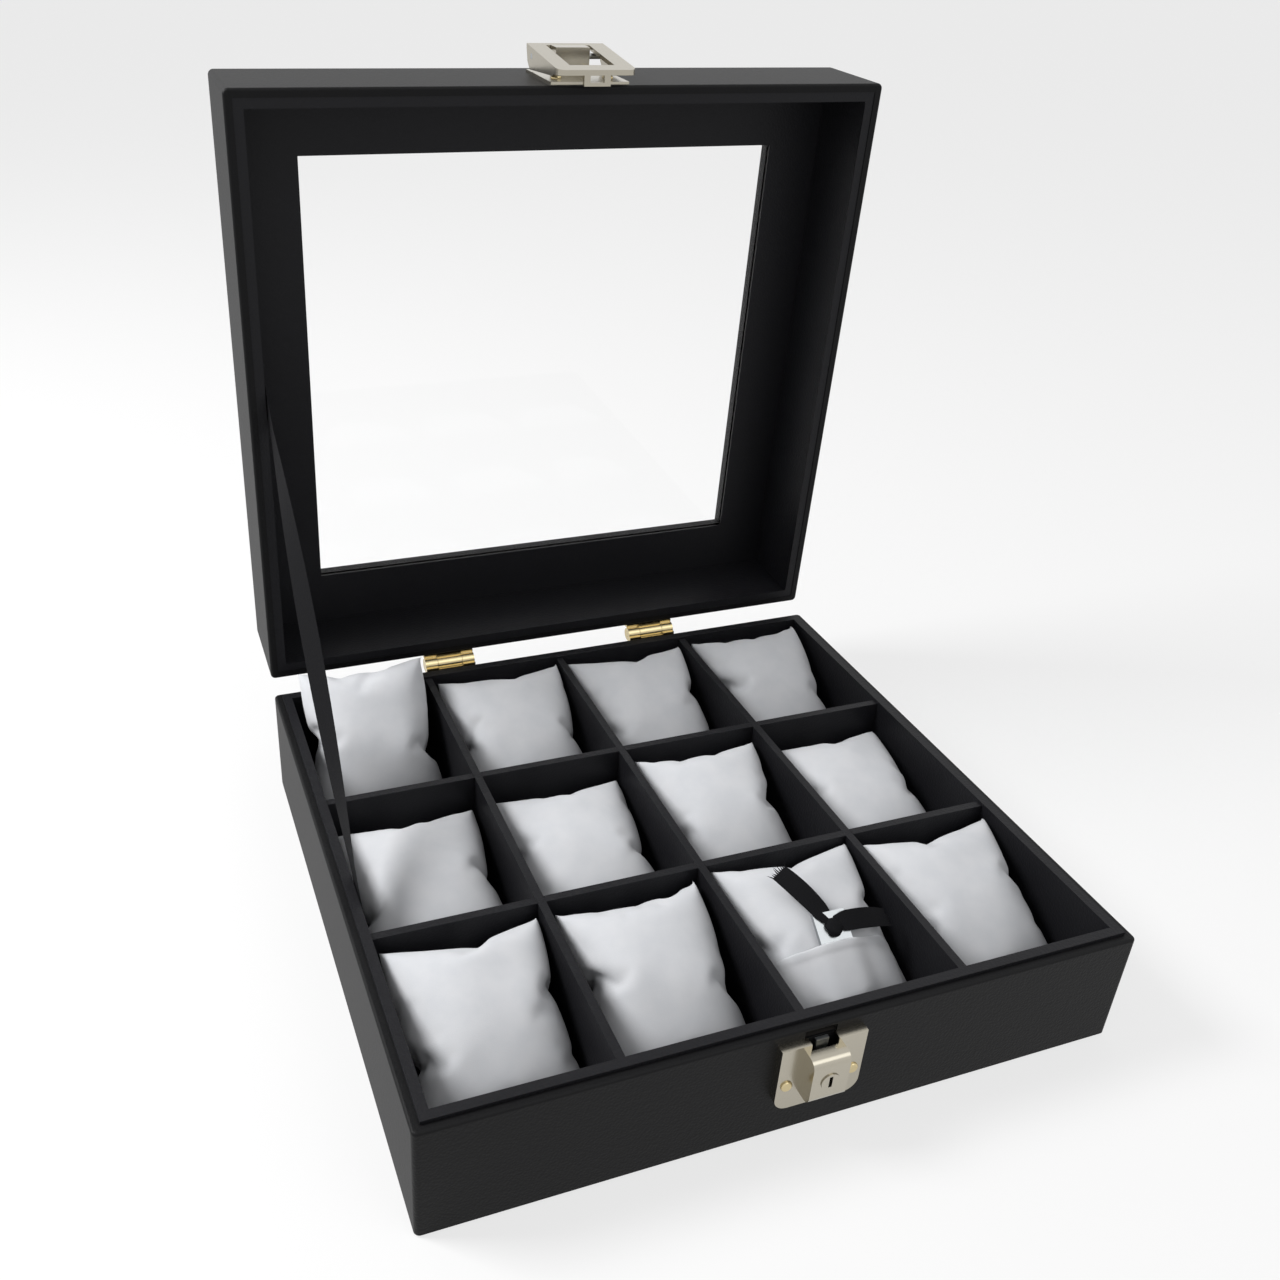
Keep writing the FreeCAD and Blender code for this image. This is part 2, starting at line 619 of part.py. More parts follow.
# Lock: pressed pan with two ledges, key case, plug with its cam, and the bolt
LOCK_X = "(lock_offset - lock_width / 2)"
pan_block = box("pan_block", "lock_width", "pan_depth", "lock_height", LOCK_X, LOCK_FACE, LOCK_BOTTOM)


def lower_corner(edge):
    """Pick the two short edges along Y at the pan's bottom corners."""
    low = abs(edge.Vertexes[0].Z - size(LOCK_BOTTOM)) < 1e-6
    across = abs(edge.Vertexes[0].X - edge.Vertexes[-1].X) < 1e-6
    return low and across and abs(edge.Vertexes[-1].Z - size(LOCK_BOTTOM)) < 1e-6


pan_round = rounded("pan_round", pan_block, lower_corner, size("pan_corner_radius"))
room_width = "(lock_width - 2 * pan_skin)"
room_height = "(lock_height - 2 * pan_skin)"
pan_room_block = box("pan_room_block", room_width, "pan_depth - pan_skin", room_height,
                     f"{LOCK_X} + pan_skin", f"{LOCK_FACE} + pan_skin", f"{LOCK_BOTTOM} + pan_skin")


def lower_room_corner(edge):
    level = size(f"{LOCK_BOTTOM} + pan_skin")
    across = abs(edge.Vertexes[0].X - edge.Vertexes[-1].X) < 1e-6
    return across and all(abs(vertex.Z - level) < 1e-6 for vertex in edge.Vertexes)


pan_room = rounded("pan_room", pan_room_block, lower_room_corner, size("pan_corner_radius - pan_skin"))
pan_notch = box("pan_notch", "notch_width", "pan_depth", "notch_depth", "lock_offset - notch_width / 2",
                LOCK_FACE, f"{LOCK_TOP} - notch_depth")
PLUG_BORE = "(plug_radius + running_clearance)"
pan_bore = rod_y("pan_bore", PLUG_BORE, "pan_depth", "lock_offset", LOCK_FACE, PLUG_Z)
node("lock_plate", cut("pan", pan_round, [pan_room, pan_notch, pan_bore] + lock_nail_holes("pan_nail")))

CASE_FACE = f"({LOCK_FACE} - case_depth)"
case_block = box("case_block", "case_width", "case_depth", "case_height", "lock_offset - case_width / 2",
                 CASE_FACE, f"{CASE_TOP} - case_height")


def case_brow(edge):
    """Pick the long edges at the front of the case's top and bottom."""
    at_front = all(abs(vertex.Y - size(CASE_FACE)) < 1e-6 for vertex in edge.Vertexes)
    return at_front and abs(edge.Vertexes[0].Z - edge.Vertexes[-1].Z) < 1e-6


case_round = rounded("case_round", case_block, case_brow, size("case_radius"))
case_bore = rod_y("case_bore", PLUG_BORE, "case_depth", "lock_offset", CASE_FACE, PLUG_Z)
node("lock_case", cut("case", case_round, [case_bore]))

PLUG_FACE = f"({CASE_FACE} - plug_proud)"
plug_length = f"({FRONT} - {PLUG_BACK} - {PLUG_FACE})"
plug_rod = rod_y("plug_rod", "plug_radius", plug_length, "lock_offset", PLUG_FACE, PLUG_Z)
cam = box("cam", "cam_reach", "cam_thickness", "cam_width", "lock_offset", f"{FRONT} - {PLUG_BACK}",
          f"{PLUG_Z} - cam_width / 2")
keyway = box("keyway", "keyway_width", "keyway_depth", "keyway_height", "lock_offset - keyway_width / 2",
             PLUG_FACE, f"{PLUG_Z} - keyway_height / 2")
node("lock_plug", cut("plug", joined("plug_blank", [plug_rod, cam]), [keyway]))

bolt_top = f"({LOCK_TOP} - bolt_rest_drop)"
node("lock_bolt", box("bolt", "bolt_width", "bolt_thickness", "bolt_length", "lock_offset - bolt_width / 2",
                      f"{FRONT} - bolt_clearance - bolt_thickness", f"{bolt_top} - bolt_length"))
lock_nails = [
    fastener(f"lock_nail_{name}", x, LOCK_FACE, NAIL_Z, LOCK_NAIL_SINK, 1)
    for name, x in NAIL_PLACES
]
node("lock_nails", group("lock_nail_pair", lock_nails))

# Hasp: plate with the pivot block, pin, and a hollow wedge of a flap with a window and a staple
BLOCK_Z = f"({PIVOT_Z} - block_near)"
HASP_X = "(lock_offset - hasp_width / 2)"
hasp_sheet = box("hasp_sheet", "hasp_width", "hasp_plate_thickness", "hasp_reach - hasp_plate_edge", HASP_X,
                 HASP_FACE, f"{MATING} + hasp_plate_edge")
hasp_block = box("hasp_block", "block_width", "block_top", "block_near + block_far",
                 "lock_offset - block_width / 2", f"{FRONT} - block_top", BLOCK_Z)
pin_bore = rod_x("hasp_block_bore", "hasp_pin_radius + running_clearance", "hasp_width", HASP_X, PIVOT_Y,
                 PIVOT_Z)
hasp_cuts = [pin_bore] + hasp_nail_holes("hasp_sheet_nail")
node("hasp_plate", cut("hasp_base", joined("hasp_base_blank", [hasp_sheet, hasp_block]), hasp_cuts), LID)
hasp_axle = rod("hasp_axle", "hasp_pin_radius", "hasp_width", HASP_X, PIVOT_Y, PIVOT_Z, (0, 1, 0), 90, LID)
node("hasp_pin", hasp_axle)
hasp_nails = [
    fastener(f"hasp_nail_{name}", x, HASP_FACE, HASP_NAIL_Z, HASP_NAIL_SINK, 1)
    for name, x in HASP_NAIL_PLACES
]
node("hasp_nails", group("hasp_nail_pair", hasp_nails), LID)


def hasp_point(reach, height):
    """A point of the flap's side view: reach up the lid from the mating line, height off its wall."""
    return f"({FRONT} - ({height}))", f"({MATING} + ({reach}))"


SLOPE = "((hasp_far_top - hasp_near_top) / (hasp_reach + hasp_overhang))"


def flap_top(reach):
    return f"(hasp_near_top + {SLOPE} * (({reach}) + hasp_overhang))"


BAR_EDGE = "(hasp_bar - hasp_overhang)"
TAIL_REACH = "(hasp_reach - pivot_reach)"
flap_side = [
    hasp_point("-hasp_overhang", "hasp_nose_bottom"),
    hasp_point("-hasp_overhang", "hasp_near_top"),
    hasp_point("hasp_reach", "hasp_far_top"),
    hasp_point("hasp_reach", "hasp_far_top - hasp_skin"),
    hasp_point(f"hasp_reach - {TAIL_REACH} / 5", "pivot_height - 2"),
    hasp_point(f"pivot_reach + {TAIL_REACH} / 3", "hasp_foot"),
    hasp_point(BAR_EDGE, "hasp_foot"),
    hasp_point(f"{BAR_EDGE} - hasp_skin", "hasp_nose_bottom"),
]
flap_block = prism("flap_block", flap_side, "hasp_width", HASP_X)


def nose_corner(edge):
    """Pick the two short edges along Y at the corners of the flap's free end."""
    level = size(f"{MATING} - hasp_overhang")
    along = abs(edge.Vertexes[0].X - edge.Vertexes[-1].X) < 1e-6
    return along and all(abs(vertex.Z - level) < 1e-6 for vertex in edge.Vertexes)


flap_round = rounded("flap_round", flap_block, nose_corner, size("hasp_corner_radius"))
under = [
    hasp_point(BAR_EDGE, "-hasp_foot"),
    hasp_point(BAR_EDGE, f"{flap_top(BAR_EDGE)} - hasp_skin"),
    hasp_point("hasp_reach + hasp_skin", f"{flap_top('hasp_reach + hasp_skin')} - hasp_skin"),
    hasp_point("hasp_reach + hasp_skin", "-hasp_foot"),
]
flap_hollow = prism("flap_hollow", under, "hasp_width - 2 * hasp_skirt", f"{HASP_X} + hasp_skirt")
flap_window = box("flap_window", "hasp_window_width", "2 * hasp_far_top",
                  f"hasp_reach - hasp_far_bar - {BAR_EDGE}", "lock_offset - hasp_window_width / 2",
                  f"{FRONT} - 2 * hasp_far_top", f"{MATING} + {BAR_EDGE}")
flap_bore = rod_x("flap_bore", "hasp_pin_radius + running_clearance", "hasp_width", HASP_X, PIVOT_Y, PIVOT_Z)
flap_frame = cut("flap_frame", flap_round, [flap_hollow, flap_window, flap_bore])
STAPLE_Y = f"({FRONT} + staple_depth)"
staple_length = "(staple_depth + hasp_near_top)"
staple_block = box("staple_block", "staple_width", staple_length, "staple_thickness",
                   "lock_offset - staple_width / 2", f"{STAPLE_Y} - {staple_length}", STAPLE_Z)
eye_length = "(staple_depth + hasp_nose_bottom - staple_bar)"
staple_eye = box("staple_eye", "eye_width", eye_length, "staple_thickness", "lock_offset - eye_width / 2",
                 f"{STAPLE_Y} - staple_bar - {eye_length}", STAPLE_Z)
staple = cut("staple", staple_block, [staple_eye])
node("hasp_flap", joined("flap", [flap_frame, staple]), HASP)

# Stay ribbon: taut from the base's left liner to the lid's left lining
STAY_RUN = f"(stay_lid_y - {HINGE_Y})"
STAY_RISE = f"({MATING} + stay_lid_rise - {HINGE_Z})"
STAY_TOP_Y = f"({HINGE_Y} + {STAY_RUN} * cos(open_angle * 1 deg) + {STAY_RISE} * sin(open_angle * 1 deg))"
STAY_TOP_Z = f"({HINGE_Z} - {STAY_RUN} * sin(open_angle * 1 deg) + {STAY_RISE} * cos(open_angle * 1 deg))"
STAY_DY = f"({STAY_TOP_Y} - stay_base_y)"
STAY_DZ = f"({STAY_TOP_Z} - stay_base_z)"
ribbon = doc.addObject("Part::Box", "ribbon")
bind(ribbon, Length="stay_thickness", Width="stay_width", Height=f"sqrt({STAY_DY}^2 + {STAY_DZ}^2)")
place(ribbon, f"-{INNER_WIDTH} / 2 + stay_clearance", "stay_base_y", "stay_base_z", (1, 0, 0),
      f"-atan({STAY_DY} / {STAY_DZ})")
node("stay_ribbon", ribbon)


# Pillows: lens sections lofted from seam to seam, drawn in at the waist, each leaning on its compartment
PILLOW_STATIONS = (-1, -0.8, -0.4, 0, 0.4, 0.8, 1)
CROWN_POWER = 0.7
EAR_POWER = 3


def pillow_section(station):
    """Width and thickness of a pillow at a station from -1, its lower seam, to 1, its upper seam."""
    ear = abs(station) ** EAR_POWER
    fullness = (1 - station ** 2) ** CROWN_POWER
    width = size("pillow_waist") + (size("pillow_width") - size("pillow_waist")) * ear
    thickness = size("pillow_seam") + (size("pillow_thickness") - size("pillow_seam")) * fullness
    return width, thickness


def lens(width, thickness, along):
    left = FreeCAD.Vector(-width / 2, along, 0)
    right = FreeCAD.Vector(width / 2, along, 0)
    top = FreeCAD.Vector(0, along, thickness / 2)
    bottom = FreeCAD.Vector(0, along, -thickness / 2)
    return Part.Wire([Part.Arc(left, top, right).toShape(), Part.Arc(right, bottom, left).toShape()])


def pillow_solid():
    half = size("pillow_length") / 2
    sections = [lens(*pillow_section(station), station * half) for station in PILLOW_STATIONS]
    return Part.makeLoft(sections, True, False)


def pillow_placement(solid, row, column):
    """Lean the pillow by its tilt, on the floor and close to the divider behind it."""
    lean = FreeCAD.Rotation(FreeCAD.Vector(1, 0, 0), size(f"tilt_{row}_{column}"))
    turned = solid.copy()
    turned.Placement = FreeCAD.Placement(FreeCAD.Vector(), lean)
    limits = turned.optimalBoundingBox()
    row_number = {"front": -1, "middle": 0, "back": 1}[row]
    back_face = size(f"{row_number} * {ROW_PITCH} + ({ROW_PITCH} - divider_thickness) / 2")
    x = size(f"({column} - 2.5) * {COLUMN_PITCH}")
    y = back_face - size("pillow_back_gap") - limits.YMax
    z = size(FLOOR) + size("pillow_clearance") - limits.ZMin
    return FreeCAD.Placement(FreeCAD.Vector(x, y, z), lean)


pillow = pillow_solid()
pillow_places = {}
for row in ("back", "middle", "front"):
    for column in (1, 2, 3, 4):
        name = f"pillow_{row}_{column}"
        cushion = doc.addObject("Part::Feature", name)
        cushion.Shape = pillow.copy()
        cushion.Placement = pillow_placement(pillow, row, column)
        pillow_places[name] = cushion.Placement
        node(name, cushion)

# Pocket on the third front pillow, and the key with its ribbon in it
POCKET_PILLOW = pillow_places["pillow_front_3"]
POCKET_STATIONS = (-0.85, -0.45, -0.1)
POCKET_MOUTH = POCKET_STATIONS[-1]


def crown(station):
    return pillow_section(station)[1] / 2


def pocket_section(station):
    """A strip of cloth over the pillow's crown, a little off it at the sides."""
    width, thickness = pillow_section(station)
    along = station * size("pillow_length") / 2
    half = size("pocket_width") / 2
    radius = (width ** 2 / 4 + thickness ** 2 / 4) / thickness
    side = math.sqrt(radius ** 2 - half ** 2) - (radius - thickness / 2) + size("pocket_side_gap")
    inner = thickness / 2 + size("pocket_gap")
    cloth = size("pocket_cloth")
    under = [FreeCAD.Vector(x, along, z) for x, z in ((-half, side), (0, inner), (half, side))]
    over = [FreeCAD.Vector(x, along, z + cloth) for x, z in ((half, side), (0, inner), (-half, side))]
    edges = [
        Part.Arc(*under).toShape(),
        Part.LineSegment(under[2], over[0]).toShape(),
        Part.Arc(*over).toShape(),
        Part.LineSegment(over[2], under[0]).toShape(),
    ]
    return Part.Wire(edges)


pocket = doc.addObject("Part::Feature", "pocket")
pocket.Shape = Part.makeLoft([pocket_section(station) for station in POCKET_STATIONS], True, False)
pocket.Placement = POCKET_PILLOW
node("pillow_pocket", pocket)

# The key lies along the chord from the pocket's mouth down to a station inside the pocket
KEY_STATION = -0.5
KEY_RUN = (POCKET_MOUTH - KEY_STATION) * size("pillow_length") / 2
KEY_SLOPE = math.atan2(crown(POCKET_MOUTH) - crown(KEY_STATION), KEY_RUN)
KEY_FRAME = POCKET_PILLOW.multiply(FreeCAD.Placement(
    FreeCAD.Vector(0, POCKET_MOUTH * size("pillow_length") / 2, crown(POCKET_MOUTH) + size("key_seat")),
    FreeCAD.Rotation(FreeCAD.Vector(1, 0, 0), math.degrees(KEY_SLOPE))))


def flat_box(width, length, thickness, x, y, z=0.0):
    return Part.makeBox(width, length, thickness, FreeCAD.Vector(x, y, z))


thick = size("key_thickness")
blade_width, blade_length = size("key_blade_width"), size("key_blade_length")
bow_width, bow_height = size("key_bow_width"), size("key_bow_height")
eye_width, eye_height = size("key_eye_width"), size("key_eye_height")
blade = flat_box(blade_width, blade_length, thick, -blade_width / 2, -blade_length)
bow = flat_box(bow_width, bow_height, thick, -bow_width / 2, 0)
eye_y = bow_height - 2 * eye_height
eye = flat_box(eye_width, eye_height, thick, -eye_width / 2, eye_y)
key = doc.addObject("Part::Feature", "key_piece")
key.Shape = blade.fuse(bow).cut(eye).removeSplitter()
key.Placement = KEY_FRAME
node("key", key)

for side, sign in (("left", -1), ("right", 1)):
    length = size(f"tail_{side}_length")
    strip = flat_box(length, size("tail_width"), size("tail_thickness"), 0, -size("tail_width") / 2)
    angle = size(f"tail_{side}_angle")
    heading = FreeCAD.Rotation(FreeCAD.Vector(0, 0, 1), angle if sign > 0 else 180 - angle)
    lift = size("tail_lift")
    start = FreeCAD.Vector(sign * lift, eye_y + eye_height / 2, thick + (1 - sign) / 2 * lift)
    tail = doc.addObject("Part::Feature", f"tail_{side}")
    tail.Shape = strip
    tail.Placement = KEY_FRAME.multiply(FreeCAD.Placement(start, heading))
    node(f"key_ribbon_{side}", tail)

# Check every object, then write each piece
doc.recompute()
for item in doc.Objects:
    if "Invalid" in item.State or "Error" in item.State:
        raise RuntimeError(f"{item.Name} failed: {item.State}")
for piece in nodes:
    if piece.Shape.isNull() or not piece.Shape.isValid() or not piece.Shape.Solids:
        raise RuntimeError(f"{piece.Label} has no valid solid")

os.makedirs("parts", exist_ok=True)
for piece in nodes:
    piece.Shape.exportStep(f"parts/{piece.Label}.step")
print(len(nodes), "pieces")
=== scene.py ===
"""An open watch box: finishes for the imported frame, and its pillows, pocket and ribbons as modelled cloth."""

import json
import math

import bpy
from mathutils import Matrix, Vector, noise
from mathutils.bvhtree import BVHTree


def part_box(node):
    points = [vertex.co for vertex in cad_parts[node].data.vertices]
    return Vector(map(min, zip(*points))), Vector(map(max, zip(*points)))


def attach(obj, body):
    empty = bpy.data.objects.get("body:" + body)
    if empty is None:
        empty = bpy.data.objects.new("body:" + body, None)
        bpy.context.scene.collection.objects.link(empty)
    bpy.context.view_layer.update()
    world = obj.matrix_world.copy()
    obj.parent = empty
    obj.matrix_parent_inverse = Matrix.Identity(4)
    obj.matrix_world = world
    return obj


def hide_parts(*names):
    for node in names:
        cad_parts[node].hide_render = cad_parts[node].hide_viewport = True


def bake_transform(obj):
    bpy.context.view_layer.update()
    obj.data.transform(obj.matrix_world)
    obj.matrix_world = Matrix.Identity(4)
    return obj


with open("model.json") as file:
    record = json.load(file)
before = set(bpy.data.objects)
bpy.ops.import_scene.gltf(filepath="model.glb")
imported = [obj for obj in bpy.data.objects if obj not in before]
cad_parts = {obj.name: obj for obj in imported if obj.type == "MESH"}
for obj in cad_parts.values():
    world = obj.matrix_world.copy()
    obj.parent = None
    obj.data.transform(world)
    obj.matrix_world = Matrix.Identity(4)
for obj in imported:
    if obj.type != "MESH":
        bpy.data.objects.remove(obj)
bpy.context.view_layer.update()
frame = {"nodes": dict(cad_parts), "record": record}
nodes = frame["nodes"]
scene = bpy.context.scene
scene.view_settings.view_transform = "Standard"
MM = 0.001


# Materials

def material(name, colour, roughness, metallic=0.0, **sockets):
    """A plain material; sockets are further inputs of its shader, by name with underscores for spaces."""
    made = bpy.data.materials.new(name)
    made.use_nodes = True
    shader = made.node_tree.nodes["Principled BSDF"]
    shader.inputs["Base Color"].default_value = (*colour, 1.0)
    shader.inputs["Roughness"].default_value = roughness
    shader.inputs["Metallic"].default_value = metallic
    for socket, value in sockets.items():
        shader.inputs[socket.replace("_", " ")].default_value = value
    return made


def add_bump(made, texture, size, depth, strength):
    """Relief on a material from a procedural texture whose cells are size metres across."""
    tree = made.node_tree
    place = tree.nodes.new("ShaderNodeTexCoord")
    mapping = tree.nodes.new("ShaderNodeMapping")
    mapping.inputs["Scale"].default_value = [1 / size] * 3
    pattern = tree.nodes.new(texture)
    pattern.inputs["Scale"].default_value = 1.0
    bump = tree.nodes.new("ShaderNodeBump")
    bump.inputs["Strength"].default_value = strength
    bump.inputs["Distance"].default_value = depth
    output = "Distance" if texture == "ShaderNodeTexVoronoi" else 0
    shader = tree.nodes["Principled BSDF"]
    tree.links.new(place.outputs["Object"], mapping.inputs["Vector"])
    tree.links.new(mapping.outputs["Vector"], pattern.inputs["Vector"])
    tree.links.new(pattern.outputs[output], bump.inputs["Height"])
    previous = shader.inputs["Normal"].links
    if previous:
        tree.links.new(previous[0].from_socket, bump.inputs["Normal"])
    tree.links.new(bump.outputs["Normal"], shader.inputs["Normal"])


MOTTLE_DETAIL = 5.0
MOTTLE_STOPS = (0.35, 0.65)


def add_mottle(made, first, second, size):
    """Colour that drifts between two shades over patches size metres across."""
    tree = made.node_tree
    place = tree.nodes.new("ShaderNodeTexCoord")
    pattern = tree.nodes.new("ShaderNodeTexNoise")
    pattern.inputs["Scale"].default_value = 1.0 / size
    pattern.inputs["Detail"].default_value = MOTTLE_DETAIL
    ramp = tree.nodes.new("ShaderNodeValToRGB")
    stops = ramp.color_ramp.elements
    for number, shade in enumerate((first, second)):
        stops[number].position = MOTTLE_STOPS[number]
        stops[number].color = (*shade, 1.0)
    tree.links.new(place.outputs["Object"], pattern.inputs["Vector"])
    tree.links.new(pattern.outputs["Fac"], ramp.inputs["Fac"])
    tree.links.new(ramp.outputs["Color"], tree.nodes["Principled BSDF"].inputs["Base Color"])


finishes = {
    "leatherette": material("leatherette", (0.0045, 0.0045, 0.005), 0.50, Specular_IOR_Level=0.14),
    "lining": material("lining", (0.009, 0.009, 0.0108), 0.46, Specular_IOR_Level=0.18),
    "board": material("board", (0.03, 0.027, 0.024), 0.85, Specular_IOR_Level=0.2),
    "felt": material("felt", (0.012, 0.012, 0.013), 1.0, Sheen_Weight=0.3),
    "glass": material("glass", (1.0, 1.0, 1.0), 0.0, Transmission_Weight=1.0, IOR=1.2),
    "nickel": material("nickel", (0.44, 0.41, 0.34), 0.22, 1.0),
    "steel": material("steel", (0.42, 0.44, 0.45), 0.34, 1.0),
    "brass": material("brass", (0.60, 0.50, 0.29), 0.26, 1.0),
    "ribbon": material("ribbon", (0.005, 0.005, 0.006), 0.75, Specular_IOR_Level=0.1),
    "pillow_cloth": material("pillow_cloth", (0.62, 0.63, 0.655), 0.9, Specular_IOR_Level=0.2,
                             Sheen_Weight=0.1),
}
GRAIN = {"texture": "ShaderNodeTexVoronoi", "size": 0.9 * MM, "depth": 0.12 * MM, "strength": 0.55}
CREASES = {"texture": "ShaderNodeTexNoise", "size": 2.6 * MM, "depth": 0.10 * MM, "strength": 0.35}
NAP = {"texture": "ShaderNodeTexNoise", "size": 0.5 * MM, "depth": 0.2 * MM, "strength": 0.5}
WEAVE = {"texture": "ShaderNodeTexNoise", "size": 0.5 * MM, "depth": 0.2 * MM, "strength": 0.8}
SUEDE = {"texture": "ShaderNodeTexNoise", "size": 0.35 * MM, "depth": 0.06 * MM, "strength": 0.5}
PALE_CLOTH = (0.64, 0.648, 0.67)
DARK_CLOTH = (0.60, 0.612, 0.638)
CLOTH_PATCH = 9 * MM
for leather in ("leatherette", "lining"):
    add_bump(finishes[leather], **GRAIN)
    add_bump(finishes[leather], **CREASES)
add_bump(finishes["felt"], **NAP)
add_bump(finishes["ribbon"], **WEAVE)
add_mottle(finishes["pillow_cloth"], DARK_CLOTH, PALE_CLOTH, CLOTH_PATCH)
add_bump(finishes["pillow_cloth"], **SUEDE)

# Finishes and rounded edges of the CAD pieces

EDGE_ROUNDING = {"lining": 0.7 * MM, "nickel": 0.45 * MM, "steel": 0.25 * MM, "brass": 0.25 * MM}
EDGE_SEGMENTS = 3
SHARP_ANGLE = math.radians(50)
for part in frame["record"]["subparts"]:
    node, slot = nodes[part["node"]], part["material_slot"]
    node.data.materials.clear()
    node.data.materials.append(finishes[slot])
    if slot in EDGE_ROUNDING:
        rounding = node.modifiers.new("rounded edges", "BEVEL")
        rounding.width = EDGE_ROUNDING[slot]
        rounding.segments = EDGE_SEGMENTS
        rounding.limit_method = "ANGLE"
        rounding.angle_limit = SHARP_ANGLE
        rounding.harden_normals = True


def mesh_piece(name, points, faces, finish, body=None):
    """A smooth mesh piece in the frame, in metres, on its body."""
    mesh = bpy.data.meshes.new(name)
    mesh.from_pydata([tuple(p) for p in points], [], faces)
    mesh.shade_smooth()
    mesh.materials.append(finishes[finish])
    piece = bpy.data.objects.new(name, mesh)
    scene.collection.objects.link(piece)
    if body:
        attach(piece, body)
    return piece


def grid_faces(rows, columns):
    """Faces of a sheet of points that runs row by row, with one more point than cells each way."""
    across = columns + 1
    corners = (0, 1, across + 1, across)
    starts = [row * across + column for row in range(rows) for column in range(columns)]
    return [tuple(start + corner for corner in corners) for start in starts]


def smooth_step(low, high, value):
    """Rise from 0 at low to 1 at high, level at both ends."""
    share = min(1.0, max(0.0, (value - low) / (high - low)))
    return share * share * (3 - 2 * share)


# Pillows: two cloth panels sewn round their edge and blown up by cloth simulation, ten times life size

PILLOW_SIZE = Vector((55 * MM, 70 * MM, 33 * MM))
WAIST_FILL = 0.18
PANEL_WIDTH = 0.64
PANEL_LENGTH = 0.80
PANEL_COLUMNS = 24
PANEL_ROWS = 30
PANEL_CELL = ((0, 0), (0, 1), (1, 1), (1, 0))
START_CROWN = 0.05
START_UNEVENNESS = 0.012
UNEVEN_WAVES = 2.5
UNEVEN_SIDE_SHIFT = 0.37
SIMULATED_FRAMES = 26
CLOTH = {"quality": 6, "mass": 0.2, "tension_stiffness": 60, "compression_stiffness": 60,
         "shear_stiffness": 20, "bending_stiffness": 0.9, "air_damping": 4, "use_pressure": True,
         "uniform_pressure_force": 9.0}


def panel_grid():
    """Places from -1 to 1 on both panels, with the edge that they share only once, and the faces."""
    index, places, faces = {}, [], []
    for side in (1, -1):
        for row in range(PANEL_ROWS + 1):
            for column in range(PANEL_COLUMNS + 1):
                edge = row in (0, PANEL_ROWS) or column in (0, PANEL_COLUMNS)
                if edge and side < 0:
                    index[side, row, column] = index[1, row, column]
                    continue
                index[side, row, column] = len(places)
                u, v = 2 * column / PANEL_COLUMNS - 1, 2 * row / PANEL_ROWS - 1
                places.append((u, v, 0 if edge else side))
        for row in range(PANEL_ROWS):
            for column in range(PANEL_COLUMNS):
                corners = [index[side, row + a, column + b] for a, b in PANEL_CELL]
                faces.append(corners if side > 0 else corners[::-1])
    return places, faces


def blown_pillow(seed):
    """Points, scaled to the pillow's size about its middle, and faces of one simulated pillow."""
    places, faces = panel_grid()
    points = []
    for u, v, side in places:
        crown = START_CROWN * (1 - u * u) * (1 - v * v)
        spot = Vector((UNEVEN_WAVES * u, UNEVEN_WAVES * v, seed + UNEVEN_SIDE_SHIFT * side))
        uneven = START_UNEVENNESS * noise.noise(spot)
        points.append(Vector((u * PANEL_WIDTH / 2, v * PANEL_LENGTH / 2, side * crown + uneven)))
    mesh = bpy.data.meshes.new("panels")
    mesh.from_pydata(points, [], faces)
    panels = bpy.data.objects.new("panels", mesh)
    scene.collection.objects.link(panels)
    cloth = panels.modifiers.new("cloth", "CLOTH")
    for setting, value in CLOTH.items():
        setattr(cloth.settings, setting, value)
    cloth.settings.effector_weights.gravity = 0
    cloth.point_cache.frame_end = SIMULATED_FRAMES
    for number in range(1, SIMULATED_FRAMES + 1):
        scene.frame_set(number)
    shape = panels.evaluated_get(bpy.context.evaluated_depsgraph_get()).to_mesh()
    points = [v.co.copy() for v in shape.vertices]
    scene.frame_set(1)
    bpy.data.objects.remove(panels)
    low = Vector([min(p[axis] for p in points) for axis in range(3)])
    high = Vector([max(p[axis] for p in points) for axis in range(3)])
    middle, size = (low + high) / 2, high - low
    scale = [PILLOW_SIZE[axis] / size[axis] for axis in range(3)]
    sized = [Vector([(p[axis] - middle[axis]) * scale[axis] for axis in range(3)]) for p in points]
    for p in sized:
        p.x *= 1 + WAIST_FILL * (1 - (2 * p.y / PILLOW_SIZE.y) ** 2)
    return sized, faces


SEEDS = (1.0, 5.0, 9.0)
TILTS = {"back": (51, 31, 30, 32), "middle": (16, 17, 27, 16), "front": (28, 29, 27, 28)}
TURNS = [Matrix.Identity(4), Matrix.Rotation(math.pi, 4, "Z"), Matrix.Rotation(math.pi, 4, "Y"),
         Matrix.Rotation(math.pi, 4, "X")]
TURN_STEP = 3
POCKET_PILLOW = "pillow_front_3"
POCKET_PILLOW_RISE = Vector((0, 2.5 * MM, 0))
shapes = [blown_pillow(seed) for seed in SEEDS]
pillow_places, pillow_points = {}, {}
count = 0
for row, tilts in TILTS.items():
    for column, tilt in enumerate(tilts, 1):
        name = f"pillow_{row}_{column}"
        low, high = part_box(name)
        place = Matrix.Translation((low + high) / 2) @ Matrix.Rotation(math.radians(tilt), 4, "X")
        local, faces = shapes[count % len(shapes)]
        turn = TURNS[(count * TURN_STEP + count // len(tilts)) % len(TURNS)]
        local = [turn @ p for p in local]
        if name == POCKET_PILLOW:
            local = [p + POCKET_PILLOW_RISE for p in local]
        pillow = mesh_piece(f"{name}_cloth", [place @ p for p in local], faces, "pillow_cloth", name)
        pillow.modifiers.new("smooth", "SUBSURF").render_levels = 1
        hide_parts(name)
        pillow_places[name], pillow_points[name] = place, (local, faces)
        count += 1

# Pocket: a panel sewn on the pillow at three edges, which lies over the key's blade up to its hemmed mouth

